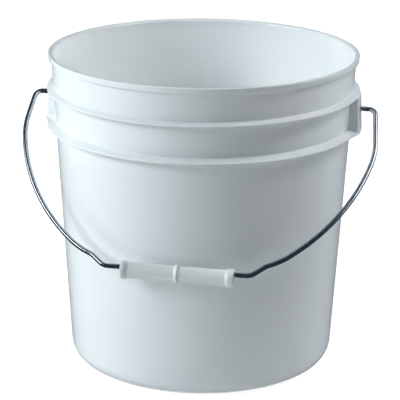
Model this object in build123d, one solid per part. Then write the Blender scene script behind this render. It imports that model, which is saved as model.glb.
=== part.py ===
from build123d import *
import math
import os

# Round pail with a swinging wire bail and a loose grip. Millimetres and degrees.
# The foot stands on z = 0 about the origin, X runs through both ears and -Y is the side the bail rests on.

# Pail wall
HEIGHT = 248.0
WALL = 1.8
WALL_TOP_RADIUS = 118.7
DRAFT = 3.44

# Rim bead
RIM_RADIUS = 121.0
RIM_HEIGHT = 5.0
RIM_UNDERCUT = 0.7

# Foot and floor
FOOT_CORNER = 13.5
FOOT_INNER_RADIUS = 84.5
FOOT_STEP = 3.0
FLOOR = 2.0
FLOOR_RISE = 3.2
GATE_RADIUS = 3.0
GATE_HEIGHT = 0.6

# Two stiffening rings: heights of the underside, of the edge's top and of the root on the wall
RING_RADIUS = 122.0
UPPER_RING = (219.1, 220.4, 222.1)
LOWER_RING = (190.9, 192.4, 194.7)

# Ears, hollow from below
EAR_WIDTH = 24.0
EAR_FACE = 122.9
EAR_WALL = 2.2
EAR_TOP = 219.7
EAR_POCKET_TOP = 216.8
EAR_EDGE = 1.0
PIVOT_HEIGHT = 208.7
PIN_CLEARANCE = 0.35

# Wire bail, bent by hand so that its seat lies a little to the +X side
WIRE = 3.8
BAIL_DROP = 154.7
BAIL_SWAY = 2.3
BAIL_SHOULDER = 135.3
BAIL_REST_ANGLE = 49.6
SHOULDER_BEND = 6.0
HEAD_RADIUS = 3.3
HEAD_THICKNESS = 1.6
HEAD_GAP = 0.4

# Bends from the seat up to the ear: straight run before the bend, bend radius, heading after it.
# Both halves leave the seat by the same jog, whose first run is worked out, and then bow in their own way.
JOG_BENDS = ((0.0, 9.0, 40.5), (9.1, 9.0, 23.0))
RIGHT_BENDS = ((0.0, 57.0, 40.5), (0.0, 160.0, 76.5), (0.0, 66.0, 96.0))
LEFT_BENDS = ((0.0, 65.0, 40.5), (0.0, 165.0, 77.5), (0.0, 74.0, 94.7))
EAR_HEADING = 180.0

# Hand grip, a thin sleeve that hangs loose and a little askew on the wire
GRIP_LENGTH = 84.0
GRIP_RADIUS = 6.2
GRIP_BORE_RADIUS = 5.25
GRIP_SHIFT = 3.1
GRIP_HANG = 2.7
GRIP_TILT = 0.75
FLANGE_RADIUS = 6.85
FLANGE_WIDTH = 6.6
MID_RING_RADIUS = 6.9
MID_RING_WIDTH = 2.6
MID_RING_SHIFT = -1.0

# Small edge rounds
ROOT_ROUND = 0.9
LIP_ROUND = 0.45
RIM_ROUND = 1.6
FLOOR_ROUND = 1.5
GRIP_END_ROUND = 0.6
GRIP_EDGE_ROUND = 0.3
GRIP_ROOT_ROUND = 0.25

DRAFT_SLOPE = math.tan(math.radians(DRAFT))
FROM_BELOW = (Align.CENTER, Align.CENTER, Align.MIN)


def wall_radius(height):
    """Radius of the outside of the wall at a height."""
    return WALL_TOP_RADIUS - (HEIGHT - height) * DRAFT_SLOPE


def ring_rows(ring):
    """Profile points of one ring on the wall, from its underside to its root."""
    underside, edge, root = ring
    return [
        (wall_radius(underside), underside, ROOT_ROUND),
        (RING_RADIUS, underside, LIP_ROUND),
        (RING_RADIUS, edge, LIP_ROUND),
        (wall_radius(root), root, ROOT_ROUND),
    ]


def pail_shell():
    """The turned shell: foot, wall, rings, rim bead, inside and floor."""
    rim_under = HEIGHT - RIM_HEIGHT
    inner_low = FLOOR
    floor_top = FLOOR_RISE + FLOOR
    inner_corner = wall_radius(inner_low) - WALL
    rows = [
        (FOOT_INNER_RADIUS, 0.0, FLOOR_ROUND),
        (wall_radius(0.0), 0.0, FOOT_CORNER),
        *ring_rows(LOWER_RING),
        *ring_rows(UPPER_RING),
        (wall_radius(rim_under), rim_under, ROOT_ROUND),
        (RIM_RADIUS, rim_under + RIM_UNDERCUT, LIP_ROUND),
        (RIM_RADIUS, HEIGHT, RIM_ROUND),
        (WALL_TOP_RADIUS - WALL, HEIGHT, ROOT_ROUND),
        (inner_corner, inner_low, FOOT_CORNER - WALL),
        (FOOT_INNER_RADIUS + FLOOR, inner_low, FLOOR_ROUND),
        (FOOT_INNER_RADIUS - FOOT_STEP + FLOOR, floor_top, FLOOR_ROUND),
        (0.0, floor_top, 0.0),
        (0.0, FLOOR_RISE, 0.0),
        (FOOT_INNER_RADIUS - FOOT_STEP, FLOOR_RISE, FLOOR_ROUND),
    ]
    points = [(radius, height) for radius, height, _ in rows]
    rounds = [round_ for _, _, round_ in rows]
    outline = Plane.XZ * FilletPolyline(*points, radius=rounds, close=True)
    shell = revolve(make_face(outline), Axis.Z)
    gate = Cylinder(GATE_RADIUS, GATE_HEIGHT, align=FROM_BELOW)
    return shell + Pos(0, 0, FLOOR_RISE - GATE_HEIGHT) * gate


def wall_plug():
    """Everything inside the outside of the wall, to keep ears and pockets out of the wall."""
    corners = ((0.0, 0.0), (wall_radius(0.0), 0.0), (wall_radius(HEIGHT), HEIGHT), (0.0, HEIGHT))
    return revolve(make_face(Plane.XZ * Polyline(*corners, close=True)), Axis.Z)


def block(x_range, width, z_range):
    """A box across Y, centred on the XZ plane."""
    length = x_range[1] - x_range[0]
    rise = z_range[1] - z_range[0]
    box = Box(length, width, rise, align=(Align.MIN, Align.CENTER, Align.MIN))
    return Pos(x_range[0], 0, z_range[0]) * box


def ear(plug):
    """The boss on the +X side, hollow from below, with the hole for the wire's end."""
    root = wall_radius(LOWER_RING[0]) - WALL
    underside = LOWER_RING[0]
    boss = block((root, EAR_FACE), EAR_WIDTH, (underside, EAR_TOP))
    front = boss.faces().sort_by(Axis.X)[-1]
    boss = fillet(front.edges().filter_by(Axis.Z), EAR_EDGE)
    pocket_face = EAR_FACE - EAR_WALL
    pocket_width = EAR_WIDTH - 2 * EAR_WALL
    pocket = block((root, pocket_face), pocket_width, (underside - EAR_WALL, EAR_POCKET_TOP))
    hole = Cylinder(WIRE / 2 + PIN_CLEARANCE, 2 * (EAR_FACE - pocket_face))
    hole = Pos(EAR_FACE, 0, PIVOT_HEIGHT) * Rot(0, 90, 0) * hole
    return boss - plug, pocket - plug, hole


def bucket_body():
    """The pail as one moulding: shell with both ears."""
    body = pail_shell()
    boss, pocket, hole = ear(wall_plug())
    for turn in (0, 180):
        body = body + Rot(0, 0, turn) * boss
        body = body - Rot(0, 0, turn) * pocket
        body = body - Rot(0, 0, turn) * hole
    return body


def bend_step(radius, start, end):
    """Displacement over one bend, from the heading at its start to the heading at its end."""
    side = math.copysign(radius, end - start)
    first, last = math.radians(start), math.radians(end)
    return side * (math.sin(last) - math.sin(first)), side * (math.cos(first) - math.cos(last))


def bail_rows(bow, start):
    """Every run and bend of one half from its start on the seat, with its first and last runs worked out."""
    rows = [*JOG_BENDS, *bow]
    across, up, heading = start, 0.0, 0.0
    for run, radius, turned in [*rows, (0.0, SHOULDER_BEND, EAR_HEADING)]:
        dx, du = bend_step(radius, heading, turned)
        across += run * math.cos(math.radians(heading)) + dx
        up += run * math.sin(math.radians(heading)) + du
        heading = turned
    lean = math.radians(rows[-1][2])
    rise = (BAIL_DROP - up) / math.sin(lean)
    stub = BAIL_SHOULDER - SHOULDER_BEND
    seat = stub - across - rise * math.cos(lean)
    first = (seat, rows[0][1], rows[0][2])
    return [first, *rows[1:], (rise, SHOULDER_BEND, EAR_HEADING)]


def half_line(bow, start, end):
    """Edges of one half of the wire's centre line in the bail's own plane, from the seat to its end."""
    point, heading = Vector(start, -BAIL_DROP), 0.0
    edges = []
    for run, radius, turned in bail_rows(bow, start):
        along = Vector(1, 0).rotate(Axis.Z, heading)
        if run > 0:
            edges.append(Line(point, point + along * run))
            point = point + along * run
        bend = JernArc(point, along, radius, turned - heading)
        edges.append(bend)
        point, heading = bend @ 1, turned
    edges.append(Line(point, (end, point.Y)))
    return edges


def bail_plane():
    """The bail's plane at rest, hinged on the ears: local y runs from the seat up to the pivot."""
    lean = math.radians(BAIL_REST_ANGLE)
    return Plane(origin=(0, 0, PIVOT_HEIGHT), x_dir=(1, 0, 0), z_dir=(0, -math.cos(lean), math.sin(lean)))


def limb(bow, start):
    """One half of the wire, drawn on the +X side, with a head upset on its end inside the ear."""
    head_inner = EAR_FACE - EAR_WALL - HEAD_GAP - HEAD_THICKNESS
    line = half_line(bow, start, head_inner)
    path = Wire([edge for part in line for edge in part.edges()])
    section = Plane(origin=path @ 0, z_dir=path % 0) * Circle(WIRE / 2)
    head = Cylinder(HEAD_RADIUS, HEAD_THICKNESS, align=FROM_BELOW)
    return sweep(section, path) + Pos(head_inner, 0, 0) * Rot(0, 90, 0) * head


def wire_bail():
    """The bent wire, from the head in one ear to the head in the other."""
    right = limb(RIGHT_BENDS, BAIL_SWAY)
    left = mirror(limb(LEFT_BENDS, -BAIL_SWAY), about=Plane.YZ)
    return bail_plane() * (right + left)


def hand_grip():
    """The sleeve hanging on the bail's seat, with a flange at each end and a ring near its middle."""
    half = GRIP_LENGTH / 2
    tube_end = half - FLANGE_WIDTH
    ring_left = MID_RING_SHIFT - MID_RING_WIDTH / 2
    ring_right = MID_RING_SHIFT + MID_RING_WIDTH / 2
    rows = [
        (-half, GRIP_BORE_RADIUS, GRIP_EDGE_ROUND),
        (-half, FLANGE_RADIUS, GRIP_END_ROUND),
        (-tube_end, FLANGE_RADIUS, GRIP_EDGE_ROUND),
        (-tube_end, GRIP_RADIUS, GRIP_ROOT_ROUND),
        (ring_left, GRIP_RADIUS, GRIP_ROOT_ROUND),
        (ring_left, MID_RING_RADIUS, GRIP_EDGE_ROUND),
        (ring_right, MID_RING_RADIUS, GRIP_EDGE_ROUND),
        (ring_right, GRIP_RADIUS, GRIP_ROOT_ROUND),
        (tube_end, GRIP_RADIUS, GRIP_ROOT_ROUND),
        (tube_end, FLANGE_RADIUS, GRIP_EDGE_ROUND),
        (half, FLANGE_RADIUS, GRIP_END_ROUND),
        (half, GRIP_BORE_RADIUS, GRIP_EDGE_ROUND),
    ]
    points = [(along, radius) for along, radius, _ in rows]
    outline = FilletPolyline(*points, radius=[round_ for _, _, round_ in rows], close=True)
    sleeve = revolve(make_face(outline), Axis.X)
    seat = bail_plane().from_local_coords((GRIP_SHIFT, -BAIL_DROP, 0))
    return Pos(seat.X, seat.Y, seat.Z - GRIP_HANG) * Rot(0, GRIP_TILT, 0) * sleeve


os.makedirs("parts", exist_ok=True)
export_step(bucket_body(), "parts/bucket_body.step")
export_step(wire_bail(), "parts/wire_bail.step")
export_step(hand_grip(), "parts/hand_grip.step")
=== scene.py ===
"""White plastic pail with a swinging wire bail and a loose hand grip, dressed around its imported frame."""

import logging
import math
from dataclasses import dataclass, field, replace
from enum import Enum
from typing import Sequence

import bmesh
import bpy
from bmesh.types import BMEdge, BMesh, BMVert
from bpy.types import Material, Mesh, Node, NodeSocket, NodeTree, Object
from mathutils import Matrix, Vector


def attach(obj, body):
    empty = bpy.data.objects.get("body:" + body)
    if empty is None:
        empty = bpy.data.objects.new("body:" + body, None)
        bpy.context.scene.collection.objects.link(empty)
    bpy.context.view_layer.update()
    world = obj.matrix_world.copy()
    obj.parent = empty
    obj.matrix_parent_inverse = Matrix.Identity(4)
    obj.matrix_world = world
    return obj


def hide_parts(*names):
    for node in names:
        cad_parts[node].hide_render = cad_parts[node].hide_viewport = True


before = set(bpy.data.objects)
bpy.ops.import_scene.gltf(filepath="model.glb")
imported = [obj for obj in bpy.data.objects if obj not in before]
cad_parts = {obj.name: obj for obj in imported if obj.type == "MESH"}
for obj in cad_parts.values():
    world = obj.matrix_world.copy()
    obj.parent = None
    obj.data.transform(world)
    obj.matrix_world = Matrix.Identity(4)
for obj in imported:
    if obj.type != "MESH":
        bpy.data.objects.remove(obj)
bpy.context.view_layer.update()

LOG = logging.getLogger("pail")

MM = 0.001
SHARP_ANGLE = math.radians(32.0)
MERGE_DISTANCE = 0.002 * MM
PIVOT_HEIGHT = 208.7
NOISE_RANGE = (0.3, 0.7)
IMAGE_SIDE = 400.0

Colour = tuple[float, float, float]
COOL: Colour = (0.89, 0.962, 1.0)
PALE: Colour = (0.944, 0.973, 1.0)
WARM: Colour = (1.0, 0.943, 0.877)
WHITE: Colour = (1.0, 1.0, 1.0)
# Colour of the cards that paint dark reflections.
PAINTED_REFLECTION_BLUE: Colour = (0.4, 0.72, 1.0)


class Join(Enum):
    """How a tool piece is worked into another one."""

    ADD = "UNION"
    CUT = "DIFFERENCE"


class Side(Enum):
    """The two ends of the bail's pivot axis."""

    RIGHT = 1
    LEFT = -1


@dataclass(frozen=True)
class Corner:
    """One corner of an outline, with the fillet that rounds it, in millimetres."""

    radius: float
    height: float
    fillet: float = 0.0

    @property
    def point(self) -> Vector:
        """Place of the corner in the half plane y = 0, in metres."""
        return Vector((self.radius, 0.0, self.height)) * MM


@dataclass(frozen=True)
class Bend:
    """One step of bending wire: a straight run, then an arc up to a heading, in mm and degrees."""

    run: float
    radius: float
    heading: float


def draw_outline(bm: BMesh, corners: Sequence[Corner], segments: int = 6) -> list[BMEdge]:
    """Draw a closed outline and round its corners.

    Args:
        bm: The bmesh that takes the outline.
        corners: Corners in order.
        segments: Edges in each rounded corner.

    Returns:
        The edges of the finished outline.
    """
    verts = [bm.verts.new(corner.point) for corner in corners]
    for start, end in zip(verts, verts[1:] + verts[:1]):
        bm.edges.new((start, end))
    count = len(corners)
    for index, corner in enumerate(corners):
        if not corner.fillet:
            continue
        before = corner.point - corners[index - 1].point
        after = corners[(index + 1) % count].point - corner.point
        reach = corner.fillet * MM * math.tan(before.angle(after) / 2)
        bmesh.ops.bevel(
            bm, geom=[verts[index]], offset=reach, offset_type="OFFSET", affect="VERTICES",
            segments=segments, profile=0.5, material=-1,
        )
    return list(bm.edges)


def turn_outline(bm: BMesh, steps: int) -> None:
    """Spin everything in the bmesh once round Z and close its seam and poles.

    Args:
        bm: The bmesh that holds the outline.
        steps: Faces round the full turn.
    """
    bmesh.ops.spin(
        bm, geom=[*bm.verts, *bm.edges], cent=(0, 0, 0), axis=(0, 0, 1), dvec=(0, 0, 0),
        angle=math.tau, steps=steps, use_merge=True, use_duplicate=False,
    )
    bmesh.ops.remove_doubles(bm, verts=bm.verts, dist=MERGE_DISTANCE)
    bmesh.ops.dissolve_degenerate(bm, edges=bm.edges, dist=MERGE_DISTANCE)
    bmesh.ops.delete(bm, geom=[edge for edge in bm.edges if not edge.link_faces], context="EDGES")
    bmesh.ops.recalc_face_normals(bm, faces=bm.faces)


def add_block(bm: BMesh, low: Sequence[float], high: Sequence[float]) -> None:
    """Add a box between two corners given in millimetres.

    Args:
        bm: The bmesh that takes the box.
        low: Lowest corner.
        high: Highest corner.
    """
    low_m, high_m = Vector(low) * MM, Vector(high) * MM
    place = Matrix.Translation((low_m + high_m) / 2) @ Matrix.Diagonal((*(high_m - low_m), 1.0))
    bmesh.ops.create_cube(bm, size=1.0, matrix=place)


def finish_mesh(bm: BMesh, name: str) -> Object:
    """Turn a bmesh into a linked object at the origin, smooth except on its sharp edges.

    Args:
        bm: The finished bmesh, which is freed.
        name: Name of the new object.

    Returns:
        The object.
    """
    mesh = bpy.data.meshes.new(name)
    bm.to_mesh(mesh)
    bm.free()
    soften(mesh)
    piece = bpy.data.objects.new(name, mesh)
    bpy.context.scene.collection.objects.link(piece)
    return piece


def soften(mesh: Mesh) -> None:
    """Shade a mesh smooth, with its sharp edges kept."""
    mesh.shade_smooth()
    mesh.set_sharp_from_angle(angle=SHARP_ANGLE)


def combine(piece: Object, tool: Object, how: Join) -> None:
    """Work a tool into a piece for good and remove the tool.

    Args:
        piece: The object that is kept.
        tool: The object that is joined to it or cut from it.
        how: Whether the tool adds or cuts.
    """
    step = piece.modifiers.new("work", "BOOLEAN")
    step.object = tool
    step.operation = how.value
    step.solver = "MANIFOLD"
    depsgraph = bpy.context.evaluated_depsgraph_get()
    worked = bpy.data.meshes.new_from_object(piece.evaluated_get(depsgraph))
    piece.modifiers.clear()
    old = piece.data
    piece.data = worked
    bpy.data.meshes.remove(old)
    bpy.data.objects.remove(tool)
    soften(worked)


def fit_piece(piece: Object, body: str, node: str, finish: Material) -> None:
    """Hang a piece on its body, give it its finish and let it stand for a node.

    Args:
        piece: The object.
        body: The frame's body that it moves with.
        node: The frame's node that it stands for.
        finish: The material.
    """
    piece.data.materials.clear()
    piece.data.materials.append(finish)
    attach(piece, body)
    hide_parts(node)
    LOG.info("%s rides on %s with %d faces", piece.name, body, len(piece.data.polygons))


class Nodes:
    """Small helper that adds and joins shader nodes in one tree."""

    def __init__(self, tree: NodeTree) -> None:
        """Keep the tree that the nodes go into."""
        self.tree = tree

    def add(self, kind: str, **settings: object) -> Node:
        """Add a node.

        Args:
            kind: The node's type name.
            settings: Properties to set on it.

        Returns:
            The node.
        """
        node = self.tree.nodes.new(kind)
        for name, value in settings.items():
            setattr(node, name, value)
        return node

    def put(self, socket: NodeSocket, value: object) -> None:
        """Link a socket or set its value.

        Args:
            socket: The input's socket.
            value: A socket to link from, or a plain value.
        """
        if isinstance(value, NodeSocket):
            self.tree.links.new(value, socket)
        else:
            socket.default_value = value

    def feed(self, node: Node, **inputs: object) -> Node:
        """Set or link inputs by name, with underscores for spaces.

        Args:
            node: The node.
            inputs: A socket to link from, or a plain value.

        Returns:
            The same node.
        """
        for name, value in inputs.items():
            self.put(node.inputs[name.replace("_", " ")], value)
        return node

    def layer(self, kind: str, *values: object, **settings: object) -> NodeSocket:
        """Add a node and fill its inputs in order.

        Args:
            kind: The node's type name.
            values: A socket to link from, or a plain value, for each input.
            settings: Properties to set on it.

        Returns:
            The node's first output.
        """
        node = self.add(kind, **settings)
        for socket, value in zip(node.inputs, values):
            self.put(socket, value)
        return node.outputs[0]

    def math(self, operation: str, first: object, second: object) -> NodeSocket:
        """Join two sockets or numbers by an operation of the Math node."""
        return self.layer("ShaderNodeMath", first, second, operation=operation)

    def spread(self, value: NodeSocket, low: float, high: float, to_low: float, to_high: float) -> NodeSocket:
        """Map a range of a value on to another, held at its ends.

        Args:
            value: The value's socket.
            low: Where the range starts.
            high: Where it ends.
            to_low: What the start becomes.
            to_high: What the end becomes.

        Returns:
            The mapped socket.
        """
        node = self.add("ShaderNodeMapRange", clamp=True)
        self.feed(node, Value=value, From_Min=low, From_Max=high, To_Min=to_low, To_Max=to_high)
        return node.outputs["Result"]

    def blend(self, factor: NodeSocket, first: Colour, second: Colour) -> NodeSocket:
        """Mix two colours.

        Args:
            factor: Share of the second colour.
            first: The colour at 0.
            second: The colour at 1.

        Returns:
            The colour's socket.
        """
        node = self.add("ShaderNodeMix", data_type="RGBA")
        sockets = {socket.identifier: socket for socket in (*node.inputs, *node.outputs)}
        self.put(sockets["Factor_Float"], factor)
        self.put(sockets["A_Color"], (*first, 1.0))
        self.put(sockets["B_Color"], (*second, 1.0))
        return sockets["Result_Color"]

    def noise(self, place: NodeSocket, scale: float | NodeSocket, detail: float) -> NodeSocket:
        """Noise about 0.5 over a place, with its lumps in each unit and its finer layers."""
        node = self.feed(self.add("ShaderNodeTexNoise"), Vector=place, Scale=scale, Detail=detail)
        return node.outputs[0]

    def stretch(self, place: NodeSocket, scale: tuple[float, float, float]) -> NodeSocket:
        """Scale coordinates along x, y and z."""
        node = self.feed(self.add("ShaderNodeMapping"), Vector=place, Scale=scale)
        return node.outputs["Vector"]


def object_place(nodes: Nodes) -> NodeSocket:
    """Coordinates of the piece's own object."""
    return nodes.add("ShaderNodeTexCoord").outputs["Object"]


def new_material(name: str) -> tuple[Material, Nodes, Node]:
    """Make an empty node material.

    Args:
        name: The material's name.

    Returns:
        The material, its node helper and its output node.
    """
    material = bpy.data.materials.new(name)
    material.use_nodes = True
    material.node_tree.nodes.clear()
    nodes = Nodes(material.node_tree)
    return material, nodes, nodes.add("ShaderNodeOutputMaterial")


@dataclass(frozen=True)
class MouldedSkin:
    """Skin of a moulded plastic: slow cloudy tone, a fine pebble and a gloss that varies with both."""

    name: str = "moulded_skin"
    cloud_detail: float = 3.0
    pebble_detail: float = 1.5
    cloud_gloss: float = 0.6
    pebble_gloss: float = 0.4
    cloud_swell: float = 3.0

    def make(self) -> NodeTree:
        """Build the node group.

        Returns:
            The group.
        """
        group = bpy.data.node_groups.new(self.name, "ShaderNodeTree")
        group.interface.new_socket("Place", in_out="INPUT", socket_type="NodeSocketVector")
        for label in ("Cloud Scale", "Pebble Scale"):
            group.interface.new_socket(label, in_out="INPUT", socket_type="NodeSocketFloat")
        for label in ("Cloud", "Gloss", "Height"):
            group.interface.new_socket(label, in_out="OUTPUT", socket_type="NodeSocketFloat")
        nodes = Nodes(group)
        given = nodes.add("NodeGroupInput")
        made = nodes.add("NodeGroupOutput")
        place = given.outputs["Place"]
        cloud = nodes.noise(place, given.outputs["Cloud Scale"], self.cloud_detail)
        pebble = nodes.noise(place, given.outputs["Pebble Scale"], self.pebble_detail)
        cloud_gloss = nodes.math("MULTIPLY", cloud, self.cloud_gloss)
        pebble_gloss = nodes.math("MULTIPLY", pebble, self.pebble_gloss)
        swell = nodes.math("MULTIPLY", cloud, self.cloud_swell)
        nodes.feed(
            made,
            Cloud=cloud,
            Gloss=nodes.math("ADD", pebble_gloss, cloud_gloss),
            Height=nodes.math("ADD", pebble, swell),
        )
        return group


@dataclass(frozen=True)
class PlasticFinish:
    """Finish of a moulded polyethylene piece."""

    name: str
    light: Colour
    deep: Colour
    gloss_low: float
    gloss_high: float
    bump: float
    skin: float
    skin_gloss: float
    scatter: float
    scatter_depth: float
    cloud_scale: float
    pebble_scale: float
    grain: tuple[float, float, float] = (1.0, 1.0, 1.0)
    ior: float = 1.5

    def make(self, skin: NodeTree) -> Material:
        """Build the material.

        Args:
            skin: The moulded skin's node group.

        Returns:
            The material.
        """
        material, nodes, output = new_material(self.name)
        shader = nodes.add("ShaderNodeBsdfPrincipled")
        surface = nodes.add("ShaderNodeGroup", node_tree=skin)
        place = nodes.stretch(object_place(nodes), self.grain)
        nodes.feed(surface, Place=place, Cloud_Scale=self.cloud_scale, Pebble_Scale=self.pebble_scale)
        tone = nodes.spread(surface.outputs["Cloud"], *NOISE_RANGE, 0.0, 1.0)
        relief = nodes.add("ShaderNodeBump")
        nodes.feed(relief, Height=surface.outputs["Height"], Strength=1.0, Distance=self.bump)
        nodes.feed(
            shader,
            Base_Color=nodes.blend(tone, self.deep, self.light),
            Roughness=nodes.spread(surface.outputs["Gloss"], *NOISE_RANGE, self.gloss_low, self.gloss_high),
            Normal=relief.outputs["Normal"],
            IOR=self.ior,
            Coat_Weight=self.skin,
            Coat_Roughness=self.skin_gloss,
            Subsurface_Weight=self.scatter,
            Subsurface_Radius=WHITE,
            Subsurface_Scale=self.scatter_depth,
        )
        nodes.feed(output, Surface=shader.outputs["BSDF"])
        return material


@dataclass(frozen=True)
class WireFinish:
    """Finish of bright drawn steel wire with a thin zinc skin."""

    name: str = "bright_wire"
    light: Colour = (0.46, 0.49, 0.52)
    deep: Colour = (0.3, 0.32, 0.35)
    gloss_low: float = 0.16
    gloss_high: float = 0.26
    bump: float = 0.0008 * MM
    line_scale: tuple[float, float, float] = (2600.0, 2600.0, 22.0)
    line_detail: float = 3.0
    spangle_scale: tuple[float, float, float] = (500.0, 500.0, 180.0)
    spangle_detail: float = 2.0
    tone_range: tuple[float, float] = (0.12, 0.36)

    def make(self) -> Material:
        """Build the material, with draw lines that follow the wire through its bends.

        Returns:
            The material.
        """
        material, nodes, output = new_material(self.name)
        shader = nodes.add("ShaderNodeBsdfPrincipled")
        straight = nodes.add("ShaderNodeAttribute", attribute_name="unbent").outputs["Vector"]
        lines = nodes.noise(nodes.stretch(straight, self.line_scale), 1.0, self.line_detail)
        spangle = nodes.noise(nodes.stretch(straight, self.spangle_scale), 1.0, self.spangle_detail)
        tone = nodes.spread(nodes.math("MULTIPLY", lines, spangle), *self.tone_range, 0.0, 1.0)
        relief = nodes.add("ShaderNodeBump")
        nodes.feed(relief, Height=lines, Strength=1.0, Distance=self.bump)
        nodes.feed(
            shader,
            Base_Color=nodes.blend(tone, self.deep, self.light),
            Metallic=1.0,
            Roughness=nodes.spread(spangle, *NOISE_RANGE, self.gloss_low, self.gloss_high),
            Normal=relief.outputs["Normal"],
        )
        nodes.feed(output, Surface=shader.outputs["BSDF"])
        return material


@dataclass
class Pail:
    """The pail: one moulding with foot, wall, two rings, rim bead and two hollow ears, in millimetres."""

    height: float = 248.0
    wall: float = 1.8
    wall_top_radius: float = 118.7
    draft: float = 3.44
    rim_radius: float = 121.0
    rim_height: float = 5.0
    rim_undercut: float = 0.4
    rim_lean: float = 0.6
    foot_corner: float = 13.5
    foot_inner_radius: float = 84.5
    foot_step: float = 3.0
    floor: float = 2.0
    floor_rise: float = 3.2
    ring_radius: float = 122.0
    upper_ring: tuple[float, float, float] = (219.1, 220.4, 222.1)
    lower_ring: tuple[float, float, float] = (190.9, 192.4, 194.7)
    ear_width: float = 24.0
    ear_face: float = 122.9
    ear_wall: float = 2.2
    ear_top: float = 219.7
    ear_pocket_top: float = 216.8
    ear_edge: float = 1.0
    ear_root: float = 0.6
    ear_foot: float = 124.2
    ear_bulge: float = 0.6
    ear_flare: float = 3.0
    ear_crown: float = 0.9
    ear_crown_steps: int = 4
    ear_sink: float = 1.35
    swell_reach: float = 13.0
    swell_depth: float = 1.7
    swell_round: float = 3.0
    swell_proud: float = 0.3
    swell_inset: float = 0.06
    pivot_height: float = PIVOT_HEIGHT
    pin_hole_radius: float = 2.25
    pin_hole_depth: float = 6.6
    pin_hole_sides: int = 40
    root_round: float = 0.9
    lip_round: float = 0.45
    bead_round: float = 0.2
    rim_round: float = 0.7
    mouth_round: float = 2.6
    floor_round: float = 1.5
    parting_azimuths: tuple[float, ...] = (-43.5, 46.0, 136.5, -134.0)
    parting_width: float = 1.6
    parting_proud: float = 0.16
    parting_sunk: float = 0.1
    gate_radius: float = 3.0
    gate_tip_radius: float = 2.7
    gate_height: float = 0.6
    gate_sink: float = 1.0
    gate_sides: int = 48
    pip_azimuth: float = -27.2
    pip_height: float = 206.0
    pip_radius: float = 0.55
    pip_detail: int = 3
    steps: int = 360

    def wall_radius(self, height: float) -> float:
        """Outside radius of the wall at a height."""
        return self.wall_top_radius - (self.height - height) * math.tan(math.radians(self.draft))

    def ring_corners(self, ring: tuple[float, float, float]) -> list[Corner]:
        """Corners of one ring, from its underside to its root on the wall.

        Args:
            ring: Heights of its underside, of its edge's top and of its root.

        Returns:
            The corners.
        """
        underside, edge, root = ring
        return [
            Corner(self.wall_radius(underside), underside, self.root_round),
            Corner(self.ring_radius, underside, self.lip_round),
            Corner(self.ring_radius, edge, self.lip_round),
            Corner(self.wall_radius(root), root, self.root_round),
        ]

    def shell_corners(self) -> list[Corner]:
        """Corners of the shell's whole section, up the outside and down the inside.

        Returns:
            The corners.
        """
        rim_under = self.height - self.rim_height
        floor_top = self.floor_rise + self.floor
        foot_top = self.foot_inner_radius - self.foot_step
        return [
            Corner(self.foot_inner_radius, 0.0, self.floor_round),
            Corner(self.wall_radius(0.0), 0.0, self.foot_corner),
            *self.ring_corners(self.lower_ring),
            *self.ring_corners(self.upper_ring),
            Corner(self.wall_radius(rim_under), rim_under, self.root_round),
            Corner(self.rim_radius - self.rim_lean, rim_under + self.rim_undercut, self.bead_round),
            Corner(self.rim_radius, self.height, self.rim_round),
            Corner(self.wall_top_radius - self.wall, self.height, self.mouth_round),
            Corner(self.wall_radius(self.floor) - self.wall, self.floor, self.foot_corner - self.wall),
            Corner(self.foot_inner_radius + self.floor, self.floor, self.floor_round),
            Corner(foot_top + self.floor, floor_top, self.floor_round),
            Corner(0.0, floor_top),
            Corner(0.0, self.floor_rise),
            Corner(foot_top, self.floor_rise, self.floor_round),
        ]

    def build(self) -> Object:
        """Turn the shell, add both ears and open their pockets and pin holes.

        Returns:
            The pail's object.
        """
        bm = bmesh.new()
        draw_outline(bm, self.shell_corners())
        turn_outline(bm, self.steps)
        pail = finish_mesh(bm, "pail")
        combine(pail, self.ear_blocks(), Join.ADD)
        combine(pail, self.swell_blocks(), Join.ADD)
        pockets = self.pocket_blocks()
        combine(pockets, self.wall_plug(), Join.CUT)
        combine(pail, pockets, Join.CUT)
        combine(pail, self.pin_holes(), Join.CUT)
        combine(pail, self.parting_ridges(), Join.ADD)
        combine(pail, self.moulding_marks(), Join.ADD)
        return pail

    def ear_blocks(self) -> Object:
        """Both ears as solid blocks with rounded roots, edges and crowns.

        Returns:
            The blocks as one object.
        """
        low = self.lower_ring[0] + self.lip_round
        wall = self.wall_radius(low)
        half = self.ear_width / 2
        spread = half + self.ear_flare
        plan = [
            Corner(wall - self.ear_sink, spread),
            Corner(math.sqrt(wall**2 - spread**2), spread),
            Corner(math.sqrt(wall**2 - half**2), half, self.ear_root),
            Corner(self.ear_foot - self.ear_bulge, half, self.ear_edge),
            Corner(self.ear_foot, 0.0, self.ear_foot),
        ]
        bm = bmesh.new()
        lean = self.wall_radius(self.ear_top) - wall
        self.raise_block(bm, plan, low, self.ear_top, lean, self.ear_face - self.ear_foot)
        crown = self.ear_top * MM - MERGE_DISTANCE
        outer = (self.ear_face - self.ear_bulge - self.ear_edge) * MM
        edges = [edge for edge in bm.edges if all(v.co.z > crown and v.co.x > outer for v in edge.verts)]
        bmesh.ops.bevel(
            bm, geom=edges, offset=self.ear_crown * MM, offset_type="OFFSET", affect="EDGES",
            segments=self.ear_crown_steps, profile=0.5, material=-1,
        )
        self.repeat_opposite(bm)
        return finish_mesh(bm, "ear_blocks")

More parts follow.
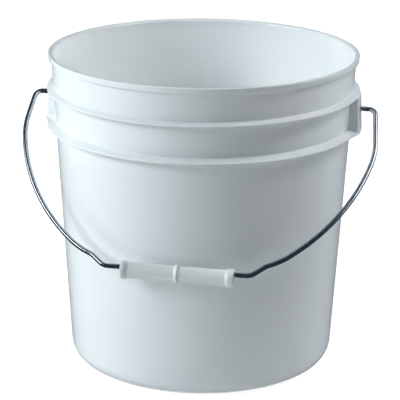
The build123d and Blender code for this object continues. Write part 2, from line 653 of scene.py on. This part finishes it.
    def swell_blocks(self) -> Object:
        """The lower ring's swell round the feet of both ears, sunk at its ends into the ring's sloping top.

        Returns:
            The blocks as one object.
        """
        half = self.ear_width / 2
        reach = half + self.swell_reach
        edge = self.ring_radius - self.lip_round
        plan = [
            Corner(self.wall_radius(self.lower_ring[0]) + self.root_round, reach),
            Corner(math.sqrt(edge**2 - reach**2), reach),
            Corner(self.ear_foot + self.swell_proud - self.ear_bulge, half, self.swell_round),
            Corner(self.ear_foot + self.swell_proud, 0.0, self.ear_foot),
        ]
        underside, lip, root = self.lower_ring
        slope = (root - lip) / (self.ring_radius - self.wall_radius(root))
        low = underside + self.swell_inset
        bm = bmesh.new()
        self.raise_block(bm, plan, low, low + self.swell_depth, 0.0, 0.0)
        for vert in bm.verts:
            inside = self.ring_radius - vert.co.xy.length / MM
            if inside > 0 and vert.co.z / MM > lip:
                vert.co.z = (lip + slope * inside - self.swell_inset) * MM
        self.repeat_opposite(bm)
        return finish_mesh(bm, "swell_blocks")

    @staticmethod
    def raise_block(
        bm: BMesh, half_plan: Sequence[Corner], low: float, high: float, root: float, face: float,
    ) -> None:
        """Raise a plan to a block at +X. A corner's radius lies along X and its height along Y.

        Args:
            bm: The empty bmesh that takes the block.
            half_plan: Half the plan, from its root to the middle of its face.
            low: Height of the underside.
            high: Height of the top.
            root: How far the top moves out at the root.
            face: How far the top moves out at the face.
        """
        mirrored = [replace(corner, height=-corner.height) for corner in reversed(half_plan[:-1])]
        plan = [*half_plan, *mirrored]
        floor = bmesh.ops.contextual_create(bm, geom=draw_outline(bm, plan))["faces"]
        bmesh.ops.rotate(bm, cent=(0, 0, 0), matrix=Matrix.Rotation(-math.pi / 2, 3, "X"), verts=bm.verts)
        bmesh.ops.translate(bm, vec=(0, 0, low * MM), verts=bm.verts)
        raised = bmesh.ops.extrude_face_region(bm, geom=floor)["geom"]
        top = [item for item in raised if isinstance(item, BMVert)]
        bmesh.ops.translate(bm, vec=(0, 0, (high - low) * MM), verts=top)
        inner, outer = min(vert.co.x for vert in top), max(vert.co.x for vert in top)
        for vert in top:
            share = (vert.co.x - inner) / (outer - inner)
            vert.co.x += (root + (face - root) * share) * MM
        bmesh.ops.recalc_face_normals(bm, faces=bm.faces)

    def pocket_blocks(self) -> Object:
        """The hollows of both ears, still reaching into the wall.

        Returns:
            The blocks as one object.
        """
        half = self.ear_width / 2 - self.ear_wall
        underside = self.lower_ring[0]
        bm = bmesh.new()
        add_block(
            bm,
            (self.wall_radius(underside) - self.wall, -half, underside - self.ear_wall),
            (self.ear_face - self.ear_wall, half, self.ear_pocket_top),
        )
        self.repeat_opposite(bm)
        return finish_mesh(bm, "pocket_blocks")

    def wall_plug(self) -> Object:
        """Everything inside the outside of the wall.

        Returns:
            The plug's object.
        """
        bm = bmesh.new()
        corners = [
            Corner(0.0, 0.0), Corner(self.wall_radius(0.0), 0.0),
            Corner(self.wall_radius(self.height), self.height), Corner(0.0, self.height),
        ]
        draw_outline(bm, corners)
        turn_outline(bm, self.steps)
        return finish_mesh(bm, "wall_plug")

    def pin_holes(self) -> Object:
        """Round plugs through both ears' faces where the wire goes in.

        Returns:
            The plugs as one object.
        """
        bm = bmesh.new()
        place = Matrix.Translation(Vector((self.ear_face, 0.0, self.pivot_height)) * MM)
        radius = self.pin_hole_radius * MM
        bmesh.ops.create_cone(
            bm, cap_ends=True, segments=self.pin_hole_sides, radius1=radius, radius2=radius,
            depth=self.pin_hole_depth * MM, matrix=place @ Matrix.Rotation(math.pi / 2, 4, "Y"),
        )
        self.repeat_opposite(bm)
        return finish_mesh(bm, "pin_holes")

    def parting_corners(self, proud: float) -> list[Corner]:
        """Corners of a slice through the collar, from the lower ring to the rim bead.

        Args:
            proud: How far the slice stands out of the surface.

        Returns:
            The corners.
        """
        low = self.lower_ring[0] - proud
        high = self.height - self.rim_round
        rim_under = self.height - self.rim_height
        lean = self.rim_lean * self.rim_round / (self.rim_height - self.rim_undercut)
        depth = self.wall / 2
        lines = [Corner(self.wall_radius(low) - depth, low)]
        for underside, edge, root in (self.lower_ring, self.upper_ring):
            lines += [
                Corner(self.wall_radius(underside) + proud, underside - proud),
                Corner(self.ring_radius + proud, underside - proud),
                Corner(self.ring_radius + proud, edge + proud),
                Corner(self.wall_radius(root) + proud, root + proud),
            ]
        return [
            *lines,
            Corner(self.wall_radius(rim_under) + proud, rim_under - proud),
            Corner(self.rim_radius - self.rim_lean + proud, rim_under + self.rim_undercut - proud),
            Corner(self.rim_radius - lean + proud, high),
            Corner(self.wall_radius(high) - depth, high),
        ]

    def parting_ridges(self) -> Object:
        """Fine ridges where the parts of the mould's collar met.

        Returns:
            The ridges as one object.
        """
        bm = bmesh.new()
        half = math.degrees(self.parting_width / 2 / self.ring_radius)
        slices = ((-half, -self.parting_sunk), (0.0, self.parting_proud), (half, -self.parting_sunk))
        for azimuth in self.parting_azimuths:
            loops = []
            for offset, proud in slices:
                known = set(bm.verts)
                slice_bm = bmesh.new()
                draw_outline(slice_bm, self.parting_corners(proud))
                turn = Matrix.Rotation(math.radians(azimuth + offset - 90.0), 3, "Z")
                bmesh.ops.rotate(slice_bm, cent=(0, 0, 0), matrix=turn, verts=slice_bm.verts)
                carrier = bpy.data.meshes.new("slice")
                slice_bm.to_mesh(carrier)
                slice_bm.free()
                bm.from_mesh(carrier)
                bpy.data.meshes.remove(carrier)
                loops.append([e for e in bm.edges if not known.intersection(e.verts)])
            for first, second in zip(loops, loops[1:]):
                bmesh.ops.bridge_loops(bm, edges=[*first, *second])
            for loop in (loops[0], loops[-1]):
                bmesh.ops.contextual_create(bm, geom=loop)
        bmesh.ops.recalc_face_normals(bm, faces=bm.faces)
        return finish_mesh(bm, "parting_ridges")

    def moulding_marks(self) -> Object:
        """The gate's stub under the floor and the tiny pip between the rings.

        Returns:
            Both as one object.
        """
        bm = bmesh.new()
        middle = self.floor_rise + (self.gate_sink - self.gate_height) / 2
        bmesh.ops.create_cone(
            bm, cap_ends=True, segments=self.gate_sides, radius1=self.gate_tip_radius * MM,
            radius2=self.gate_radius * MM, depth=(self.gate_height + self.gate_sink) * MM,
            matrix=Matrix.Translation((0, 0, middle * MM)),
        )
        wall = self.wall_radius(self.pip_height) * MM
        turn = math.radians(self.pip_azimuth)
        spot = Matrix.Translation((math.sin(turn) * wall, -math.cos(turn) * wall, self.pip_height * MM))
        radius = self.pip_radius * MM
        bmesh.ops.create_icosphere(bm, subdivisions=self.pip_detail, radius=radius, matrix=spot)
        return finish_mesh(bm, "moulding_marks")

    @staticmethod
    def repeat_opposite(bm: BMesh) -> None:
        """Copy everything in a bmesh half a turn round Z."""
        bmesh.ops.spin(
            bm, geom=[*bm.verts, *bm.edges, *bm.faces], cent=(0, 0, 0), axis=(0, 0, 1), dvec=(0, 0, 0),
            angle=math.pi, steps=1, use_duplicate=True,
        )


@dataclass
class Bail:
    """The wire bail: its bends from the seat up to each ear and the heads inside the ears, in millimetres."""

    pivot_height: float = PIVOT_HEIGHT
    wire: float = 3.8
    drop: float = 154.7
    sway: float = 2.3
    shoulder: float = 135.3
    rest_angle: float = 49.6
    shoulder_bend: float = 6.0
    head_radius: float = 3.3
    head_thickness: float = 1.6
    head_inner: float = 118.7
    head_round: float = 0.4
    head_round_steps: int = 3
    head_inset: float = 0.5
    ear_heading: float = 180.0
    jog: tuple[Bend, ...] = (Bend(0.0, 9.0, 40.5), Bend(9.1, 9.0, 23.0))
    bows: dict[Side, tuple[Bend, ...]] = field(default_factory=lambda: {
        Side.RIGHT: (Bend(0.0, 57.0, 40.5), Bend(0.0, 160.0, 76.5), Bend(0.0, 66.0, 96.0)),
        Side.LEFT: (Bend(0.0, 65.0, 40.5), Bend(0.0, 165.0, 77.5), Bend(0.0, 74.0, 94.7)),
    })
    sides: int = 28
    turn_step: float = 3.0
    least_steps: int = 3

    def plane(self) -> Matrix:
        """Place of the bail's own plane at rest: x along the pivot, y from the seat up to it."""
        lean = Matrix.Rotation(math.radians(90.0 - self.rest_angle), 4, "X")
        return Matrix.Translation((0, 0, self.pivot_height * MM)) @ lean

    def bends(self, side: Side) -> list[Bend]:
        """All bends of one half, with its seat and its last run worked out so that it ends at the ear.

        Args:
            side: Which half.

        Returns:
            The bends from the seat to the ear.
        """
        rows = [*self.jog, *self.bows[side]]
        last = Bend(0.0, self.shoulder_bend, self.ear_heading)
        across, up, heading = self.sway * side.value, 0.0, 0.0
        for bend in [*rows, last]:
            start, end = math.radians(heading), math.radians(bend.heading)
            arc = math.copysign(bend.radius, bend.heading - heading)
            across += bend.run * math.cos(start) + arc * (math.sin(end) - math.sin(start))
            up += bend.run * math.sin(start) + arc * (math.cos(start) - math.cos(end))
            heading = bend.heading
        lean = math.radians(rows[-1].heading)
        rise = (self.drop - up) / math.sin(lean)
        seat = self.shoulder - self.shoulder_bend - across - rise * math.cos(lean)
        first = Bend(seat, rows[0].radius, rows[0].heading)
        return [first, *rows[1:], Bend(rise, self.shoulder_bend, self.ear_heading)]

    def build(self) -> Object:
        """Bend the wire from the middle of its seat to both ends.

        Returns:
            The wire's object.
        """
        bm = bmesh.new()
        for side in Side:
            self.limb(bm, side)
        bmesh.ops.remove_doubles(bm, verts=bm.verts, dist=MERGE_DISTANCE)
        bmesh.ops.transform(bm, matrix=self.plane(), verts=bm.verts)
        bmesh.ops.recalc_face_normals(bm, faces=bm.faces)
        return finish_mesh(bm, "bail")

    def limb(self, bm: BMesh, side: Side) -> None:
        """Draw one half out of a ring of points, run by run and bend by bend.

        Args:
            bm: The bmesh that takes the half.
            side: Which half.
        """
        unbent = bm.verts.layers.float_vector.get("unbent") or bm.verts.layers.float_vector.new("unbent")
        known = set(bm.verts)
        start = Vector((self.sway * side.value, -self.drop, 0.0)) * MM
        place = Matrix.Translation(start) @ Matrix.Rotation(math.pi / 2, 4, "Y")
        radius = self.wire / 2 * MM
        ring = bmesh.ops.create_circle(bm, segments=self.sides, radius=radius, matrix=place)["verts"]
        for vert in ring:
            vert[unbent] = Vector((vert.co.y - start.y, vert.co.z, 0.0))
        edges = list({e for v in ring for e in v.link_edges})
        point, heading = start, 0.0
        for bend in self.bends(side):
            along = Vector((math.cos(math.radians(heading)), math.sin(math.radians(heading)), 0.0))
            if bend.run:
                edges = self.pull(bm, edges, along * bend.run * MM, bend.run * MM)
                point = point + along * bend.run * MM
            turn = bend.heading - heading
            normal = Vector((-along.y, along.x, 0.0))
            centre = point + normal * math.copysign(bend.radius * MM, turn)
            count = max(self.least_steps, round(abs(turn) / self.turn_step))
            length = bend.radius * MM * math.radians(abs(turn)) / count
            spin = Matrix.Rotation(math.radians(turn) / count, 3, "Z")
            for _ in range(count):
                edges = self.pull(bm, edges, Vector(), length)
                verts = list({v for e in edges for v in e.verts})
                bmesh.ops.rotate(bm, cent=centre, matrix=spin, verts=verts)
            point = centre + Matrix.Rotation(math.radians(turn), 3, "Z") @ (point - centre)
            heading = bend.heading
        inward = Vector((self.head_inner * MM - point.x, 0.0, 0.0))
        edges = self.pull(bm, edges, inward, inward.length)
        self.head(bm, edges)
        if side is Side.LEFT:
            fresh = [v for v in bm.verts if v not in known]
            bmesh.ops.scale(bm, vec=(-1, 1, 1), verts=fresh)
            for vert in fresh:
                vert[unbent] = Vector((vert[unbent].x, vert[unbent].y, -vert[unbent].z))

    @staticmethod
    def pull(bm: BMesh, edges: list[BMEdge], vec: Vector, length: float) -> list[BMEdge]:
        """Draw the wire's open end onwards.

        Args:
            bm: The bmesh.
            edges: The ring of edges at the open end.
            vec: How far the end moves.
            length: Length of wire that this adds.

        Returns:
            The new ring of edges.
        """
        unbent = bm.verts.layers.float_vector["unbent"]
        made = bmesh.ops.extrude_edge_only(bm, edges=edges)["geom"]
        verts = [g for g in made if isinstance(g, BMVert)]
        bmesh.ops.translate(bm, verts=verts, vec=vec)
        for vert in verts:
            vert[unbent] = vert[unbent] + Vector((0.0, 0.0, length))
        ring = set(verts)
        return [g for g in made if isinstance(g, BMEdge) and ring.issuperset(g.verts)]

    def head(self, bm: BMesh, edges: list[BMEdge]) -> None:
        """Upset the wire's end to a flat head with rounded edges.

        Args:
            bm: The bmesh.
            edges: The ring of edges at the wire's end.
        """
        outward = Vector((self.head_thickness * MM, 0.0, 0.0))
        growth = self.head_radius / (self.wire / 2)
        edges = self.pull(bm, edges, outward, 0.0)
        rim = []
        for vec, scale in ((Vector(), growth), (-outward, 1.0), (Vector(), self.head_inset)):
            edges = self.pull(bm, edges, vec, 0.0)
            verts = list({v for e in edges for v in e.verts})
            middle = sum((v.co for v in verts), Vector()) / len(verts)
            bmesh.ops.scale(bm, vec=(1, scale, scale), verts=verts, space=Matrix.Translation(-middle))
            rim.append(edges)
        bmesh.ops.contextual_create(bm, geom=edges)
        bmesh.ops.bevel(
            bm, geom=[*rim[0], *rim[1]], offset=self.head_round * MM, offset_type="OFFSET", affect="EDGES",
            segments=self.head_round_steps, profile=0.5, material=-1,
        )


@dataclass
class Grip:
    """The hand grip: a turned sleeve with a flange at each end and a ring at its middle, in millimetres."""

    length: float = 84.9
    radius: float = 6.2
    bore_radius: float = 5.25
    shift: float = 3.5
    hang: float = 2.7
    tilt: float = 0.75
    flange_radius: float = 7.2
    left_taper: tuple[float, float] = (2.6, 5.6)
    right_taper: tuple[float, float] = (4.0, 6.2)
    ring_radius: float = 7.3
    ring_half: float = 2.2
    ring_round: float = 0.8
    end_round: float = 0.6
    edge_round: float = 0.3
    soft_round: float = 1.2
    steps: int = 96

    def corners(self) -> list[Corner]:
        """Corners of the sleeve's section, with heights along its axis.

        Returns:
            The corners.
        """
        half = self.length / 2
        left_high, left_low = (taper - half for taper in self.left_taper)
        right_high, right_low = (half - taper for taper in self.right_taper)
        return [
            Corner(self.bore_radius, -half, self.edge_round),
            Corner(self.flange_radius, -half, self.end_round),
            Corner(self.flange_radius, left_high, self.soft_round),
            Corner(self.radius, left_low, self.soft_round),
            Corner(self.radius, -self.ring_half, self.soft_round),
            Corner(self.ring_radius, 0.0, self.ring_round),
            Corner(self.radius, self.ring_half, self.soft_round),
            Corner(self.radius, right_low, self.soft_round),
            Corner(self.flange_radius, right_high, self.soft_round),
            Corner(self.flange_radius, half, self.end_round),
            Corner(self.bore_radius, half, self.edge_round),
        ]

    def build(self, bail: Bail) -> Object:
        """Turn the sleeve and hang it on the bail's seat.

        Args:
            bail: The bail that carries it.

        Returns:
            The grip's object.
        """
        bm = bmesh.new()
        draw_outline(bm, self.corners())
        turn_outline(bm, self.steps)
        seat = bail.plane() @ (Vector((self.shift, -bail.drop, 0.0)) * MM)
        hung = Matrix.Translation(seat - Vector((0.0, 0.0, self.hang * MM)))
        lie = Matrix.Rotation(math.pi / 2 + math.radians(self.tilt), 4, "Y")
        bmesh.ops.transform(bm, matrix=hung @ lie, verts=bm.verts)
        return finish_mesh(bm, "grip")


def direction(azimuth: float, elevation: float) -> Vector:
    """Unit vector from the pail towards a bearing.

    Args:
        azimuth: Degrees from the front, positive towards +X.
        elevation: Degrees above the floor.

    Returns:
        The vector.
    """
    turn, rise = math.radians(azimuth), math.radians(elevation)
    return Vector((math.sin(turn) * math.cos(rise), -math.cos(turn) * math.cos(rise), math.sin(rise)))


@dataclass(frozen=True)
class Lamp:
    """One soft oblong lamp that looks at the pail's middle, in metres and degrees."""

    name: str
    colour: Colour
    azimuth: float
    elevation: float
    power: float
    width: float = 0.5
    height: float = 0.5
    distance: float = 1.6

    def place(self, target: Vector) -> None:
        """Add the lamp to the scene.

        Args:
            target: The point that it looks at.
        """
        light = bpy.data.lights.new(self.name, "AREA")
        light.shape = "RECTANGLE"
        light.size = self.width
        light.size_y = self.height
        light.energy = self.power
        light.color = self.colour
        lamp = bpy.data.objects.new(self.name, light)
        back = direction(self.azimuth, self.elevation)
        lamp.location = target + back * self.distance
        lamp.rotation_euler = back.to_track_quat("Z", "Y").to_euler()
        lamp.visible_camera = False
        lamp.visible_glossy = False
        bpy.context.scene.collection.objects.link(lamp)


@dataclass(frozen=True)
class Cards:
    """Curved glowing cards round the pail that only show in reflections, as painted dark reflections and
    painted highlights, in metres and degrees from the front.
    """

    name: str
    profile: tuple[tuple[float, float], ...]
    first: float
    last: float
    colour: Colour
    glow: float
    steps: int = 48

    def hang(self) -> None:
        """Add the cards to the scene, each evenly bright all over and seen only as a painted reflection."""
        bm = bmesh.new()
        verts = [bm.verts.new((0.0, -radius, height)) for radius, height in self.profile]
        edges = [bm.edges.new(pair) for pair in zip(verts, verts[1:])]
        start = Matrix.Rotation(math.radians(self.first), 3, "Z")
        bmesh.ops.rotate(bm, cent=(0, 0, 0), matrix=start, verts=verts)
        bmesh.ops.spin(
            bm, geom=[*verts, *edges], cent=(0, 0, 0), axis=(0, 0, 1), dvec=(0, 0, 0), steps=self.steps,
            angle=math.radians(self.last - self.first), use_merge=False, use_duplicate=False,
        )
        bmesh.ops.remove_doubles(bm, verts=bm.verts, dist=MERGE_DISTANCE)
        material, nodes, output = new_material(self.name)
        shine = nodes.feed(nodes.add("ShaderNodeEmission"), Color=(*self.colour, 1.0), Strength=self.glow)
        nodes.feed(output, Surface=shine.outputs[0])
        cards = finish_mesh(bm, self.name)
        cards.data.materials.append(material)
        cards.visible_camera = False
        cards.visible_diffuse = False
        cards.visible_shadow = False


@dataclass
class Studio:
    """Pale floor, white surroundings, soft lamps and the photograph's camera.

    Lengths are in metres, angles in degrees and the frame's shift in the photograph's pixels.
    """

    target: Vector = field(default_factory=lambda: Vector((0.0, 0.0, 0.124)))
    camera_azimuth: float = 10.5
    camera_elevation: float = 17.67
    camera_distance: float = 1.452
    camera_roll: float = 0.558
    lens: float = 164.0
    sensor: float = 36.0
    frame_shift: tuple[float, float] = (2.3, 2.77)
    floor_side: float = 8.0
    lamps: tuple[Lamp, ...] = (
        Lamp("left_lamp", COOL, -80.0, 28.0, 8.6),
        Lamp("key_lamp", COOL, -60.0, 28.0, 10.0),
        Lamp("front_lamp", COOL, -40.0, 28.0, 3.7),
        Lamp("right_high_lamp", PALE, 100.0, 50.0, 11.1),
        Lamp("right_lamp", PALE, 120.0, 28.0, 3.2),
        Lamp("rear_right_lamp", PALE, 140.0, 8.0, 11.0, height=0.3),
        Lamp("rear_left_lamp", WARM, -120.0, 8.0, 8.5, height=0.3),
        Lamp("back_lamp", WARM, -140.0, 28.0, 2.8),
        Lamp("low_lamp", COOL, -60.0, -6.6, 0.37, width=0.3, height=0.1, distance=0.554),
    )
    bounce_tone: Colour = (0.7, 0.7, 0.7)
    table_glow: float = 0.17
    table_reach: tuple[float, float] = (0.09, 0.35)
    shadow_tone: Colour = (0.3, 0.3, 0.3)
    pale_glow: tuple[float, float] = (0.88, 1.0)
    pale_reach: tuple[float, float] = (0.1, 0.8)
    # Cards that only paint reflections: the dim blue ones paint dark reflections, the white ones paint
    # highlights.
    cards: tuple[Cards, ...] = (
        Cards(
            "painted_dark_reflection", ((0.095, 0.004), (2.4, 0.004), (2.4, 2.2), (0.0, 2.2)), -125.0, 125.0,
            colour=PAINTED_REFLECTION_BLUE, glow=0.09,
        ),
        Cards(
            "painted_dark_back_reflection", ((0.095, 0.004), (0.22, 0.004), (0.22, 0.5)), 100.0, 260.0,
            colour=PAINTED_REFLECTION_BLUE, glow=0.09,
        ),
        # Painted highlights on the wire and on the plastic's gloss.
        Cards("painted_left_highlight", ((1.5, 0.6), (1.35, 1.1)), -90.0, -40.0, colour=WHITE, glow=5.0),
        Cards("painted_right_highlight", ((1.45, 0.45), (0.7, 1.5)), 68.0, 128.0, colour=WHITE, glow=2.6),
    )

    def build(self) -> None:
        """Set up floor, surroundings, lamps, camera and colour view."""
        self.add_floor()
        for cards in self.cards:
            cards.hang()
        self.add_world()
        for lamp in self.lamps:
            lamp.place(self.target)
        self.add_camera()
        bpy.context.scene.view_settings.view_transform = "Standard"

    def add_floor(self) -> None:
        """Lay a pale floor that keeps a soft shadow."""
        bm = bmesh.new()
        bmesh.ops.create_grid(bm, x_segments=1, y_segments=1, size=self.floor_side / 2)
        floor = finish_mesh(bm, "floor")
        floor.data.materials.append(self.floor_finish())

    @staticmethod
    def seen_directly(nodes: Nodes) -> NodeSocket:
        """Factor of 1 for camera, mirror and see-through rays.

        Args:
            nodes: The tree's node helper.

        Returns:
            The factor's socket.
        """
        path = nodes.add("ShaderNodeLightPath")
        direct = nodes.math("MAXIMUM", path.outputs["Is Camera Ray"], path.outputs["Is Glossy Ray"])
        return nodes.math("MAXIMUM", direct, path.outputs["Is Transmission Ray"])

    def floor_finish(self) -> Material:
        """White floor that shows nearly as bright as the surroundings.

        Returns:
            The material.
        """
        material, nodes, output = new_material("pale_floor")
        away = nodes.add("ShaderNodeVectorMath", operation="LENGTH")
        nodes.put(away.inputs[0], object_place(nodes))
        distance = away.outputs["Value"]
        table_fade = nodes.spread(distance, *self.table_reach, self.table_glow, 0.0)
        pale_fade = nodes.spread(distance, *self.pale_reach, *self.pale_glow)
        matt = nodes.layer("ShaderNodeBsdfDiffuse", (*self.bounce_tone, 1.0))
        table = nodes.layer("ShaderNodeEmission", (*COOL, 1.0), table_fade)
        shade = nodes.layer("ShaderNodeBsdfDiffuse", (*self.shadow_tone, 1.0))
        pale = nodes.layer("ShaderNodeEmission", (*WHITE, 1.0), pale_fade)
        bounce = nodes.layer("ShaderNodeAddShader", matt, table)
        shown = nodes.layer("ShaderNodeAddShader", shade, pale)
        above = nodes.layer("ShaderNodeMixShader", self.seen_directly(nodes), bounce, shown)
        below = nodes.layer("ShaderNodeBsdfTransparent")
        backfacing = nodes.add("ShaderNodeNewGeometry").outputs["Backfacing"]
        nodes.feed(output, Surface=nodes.layer("ShaderNodeMixShader", backfacing, above, below))
        return material

    def add_world(self) -> None:
        """White surroundings to look at, which put no light of their own on matt surfaces."""
        world = bpy.data.worlds.new("surroundings")
        world.use_nodes = True
        world.node_tree.nodes.clear()
        nodes = Nodes(world.node_tree)
        white = nodes.layer("ShaderNodeBackground", (*WHITE, 1.0), self.seen_directly(nodes))
        nodes.feed(nodes.add("ShaderNodeOutputWorld"), Surface=white)
        bpy.context.scene.world = world

    def add_camera(self) -> None:
        """Stand the camera where the photograph was taken from."""
        data = bpy.data.cameras.new("camera")
        data.lens = self.lens
        data.sensor_width = self.sensor
        back = direction(self.camera_azimuth, self.camera_elevation)
        right = Vector((0, 0, 1)).cross(back).normalized()
        up = back.cross(right)
        roll = math.radians(self.camera_roll)
        turned_right = right * math.cos(roll) + up * math.sin(roll)
        turned_up = up * math.cos(roll) - right * math.sin(roll)
        pixel = self.camera_distance * self.sensor / (self.lens * IMAGE_SIDE)
        across, lift = (count * pixel for count in self.frame_shift)
        aim = self.target - turned_right * across + turned_up * lift
        camera = bpy.data.objects.new("camera", data)
        basis = Matrix((turned_right, turned_up, back)).transposed().to_4x4()
        camera.matrix_world = Matrix.Translation(aim + back * self.camera_distance) @ basis
        bpy.context.scene.collection.objects.link(camera)
        bpy.context.scene.camera = camera


PAIL_PLASTIC = PlasticFinish(
    name="white_polyethylene", light=(0.87, 0.905, 0.915), deep=(0.856, 0.892, 0.903),
    gloss_low=0.34, gloss_high=0.46, bump=0.012 * MM, skin=0.8, skin_gloss=0.12,
    scatter=0.5, scatter_depth=3.0 * MM, cloud_scale=14.0, pebble_scale=900.0,
)
GRIP_PLASTIC = PlasticFinish(
    name="milky_polyethylene", light=(0.82, 0.84, 0.84), deep=(0.735, 0.76, 0.765),
    gloss_low=0.3, gloss_high=0.42, bump=0.01 * MM, skin=0.3, skin_gloss=0.2,
    scatter=0.2, scatter_depth=0.8 * MM, cloud_scale=420.0, pebble_scale=1500.0, grain=(0.06, 1.0, 1.0),
)


def main() -> None:
    """Build and dress every piece, then the studio around them."""
    logging.basicConfig(level=logging.INFO, format="%(name)s: %(message)s")
    skin = MouldedSkin().make()
    bail = Bail()
    fit_piece(Pail().build(), "bucket", "bucket_body", PAIL_PLASTIC.make(skin))
    fit_piece(bail.build(), "bail", "wire_bail", WireFinish().make())
    fit_piece(Grip().build(bail), "grip", "hand_grip", GRIP_PLASTIC.make(skin))
    Studio().build()


if __name__ == "__main__":
    main()
